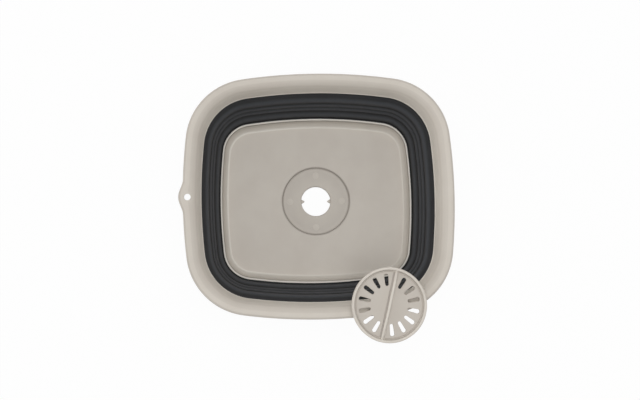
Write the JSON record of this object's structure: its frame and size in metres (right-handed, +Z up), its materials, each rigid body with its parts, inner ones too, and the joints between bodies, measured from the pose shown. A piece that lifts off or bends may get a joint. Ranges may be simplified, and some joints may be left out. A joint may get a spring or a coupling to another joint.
{
  "type": "collapsible camp washbasin",
  "caption": "Collapsible rectangular washbasin: hard rim with hanging ear, stepped soft wall that folds flat, base tray with a bayonet drain, and a slotted strainer plug.",
  "frame": {"origin": "on the table, under the middle of the whole part's bounding box", "axes": "+Z up, +X along the basin's long sides, hanging ear at -X, loose strainer on the rim's -Y side"},
  "size_m": [0.38, 0.3708, 0.1512],
  "materials": {
    "moulded_polypropylene": "warm grey moulded polypropylene, fine satin grain",
    "soft_elastomer": "charcoal soft elastomer, satin",
    "seal_rubber": "black rubber, matt"
  },
  "bodies": {
    "base": {"base_tray": "moulded_polypropylene", "base_collar": "soft_elastomer", "lower_fold": "soft_elastomer"},
    "band": {"mid_band": "soft_elastomer", "upper_fold": "soft_elastomer"},
    "rim": {"rim": "moulded_polypropylene", "rim_collar": "soft_elastomer"},
    "seal": {"plug_seal": "seal_rubber"},
    "strainer": {"strainer": "moulded_polypropylene"}
  },
  "joints": [
    {"name": "lower_wall_fold", "type": "slide", "parent": "base", "child": "band", "axis": [0, 0, -1], "range_m": [0, 0.038], "deforming": ["lower_fold"]},
    {"name": "upper_wall_fold", "type": "slide", "parent": "band", "child": "rim", "axis": [0, 0, -1], "range_m": [0, 0.04], "deforming": ["upper_fold"]},
    {"name": "strainer_lift", "type": "slide", "parent": "rim", "child": "seal", "axis": [0, 0, 1], "range_m": [0, 0.06]},
    {"name": "strainer_turn", "type": "hinge", "parent": "seal", "child": "strainer", "pos_m": [0.09337, -0.13459, 0.1303], "axis": [0, 0, 1], "continuous": true}
  ]
}
